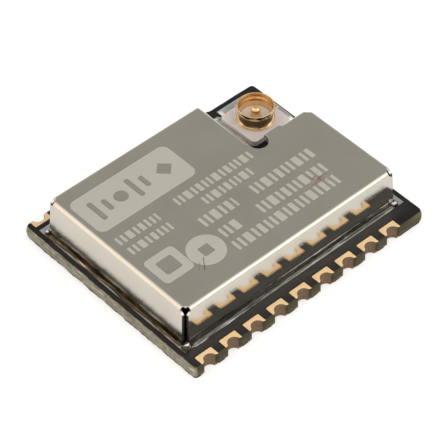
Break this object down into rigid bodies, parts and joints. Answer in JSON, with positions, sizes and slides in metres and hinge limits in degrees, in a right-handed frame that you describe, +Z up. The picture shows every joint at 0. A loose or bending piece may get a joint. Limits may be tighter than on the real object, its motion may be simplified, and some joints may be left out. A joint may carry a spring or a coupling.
{
  "type": "wifi module",
  "caption": "Surface-mount radio module: castellated board with a folded metal shield and a miniature coaxial aerial connector in the shield's corner notch.",
  "frame": {"origin": "centre of the board's underside, in the plane that the module is soldered down on", "axes": "+X along the two castellated edges, towards the aerial connector's end; +Y from the full row of pads towards the edge behind the connector; +Z up, away from the host board"},
  "size_m": [0.015, 0.0124, 0.003],
  "materials": {
    "laminate": "cut glass-epoxy, layered, matt",
    "solder_mask": "black solder mask, semi-gloss",
    "gold_plate": "immersion gold over nickel, satin",
    "shield_sheet": "nickel silver sheet, satin, fine grain",
    "solder": "reflowed solder, bright, uneven",
    "connector_moulding": "liquid crystal polymer, satin",
    "connector_gold": "gold plated, polished",
    "package_epoxy": "moulded epoxy, matt",
    "tin_plate": "tin plated, satin",
    "dark_ceramic": "matt",
    "lid_metal": "satin",
    "tan_ceramic": "satin",
    "coil_ceramic": "satin"
  },
  "bodies": {
    "root": {"circuit_board": "laminate", "top_solder_mask": "solder_mask", "bottom_solder_mask": "solder_mask", "front_edge_pads": "gold_plate", "back_edge_pads": "gold_plate", "shield_ground_track": "gold_plate", "shield_can": "shield_sheet", "shield_solder": "solder", "connector_housing": "connector_moulding", "connector_shell": "connector_gold", "connector_pin": "connector_gold", "connector_lands": "gold_plate", "connector_solder": "solder", "processor_body": "package_epoxy", "processor_contacts": "tin_plate", "amplifier_body": "package_epoxy", "amplifier_contacts": "tin_plate", "crystal_base": "dark_ceramic", "crystal_lid": "lid_metal", "capacitor_bodies": "tan_ceramic", "capacitor_ends": "tin_plate", "resistor_bodies": "dark_ceramic", "resistor_ends": "tin_plate", "coil_bodies": "coil_ceramic", "coil_ends": "tin_plate", "component_lands": "gold_plate", "component_solder": "solder", "bottom_lands": "gold_plate"}
  },
  "joints": []
}
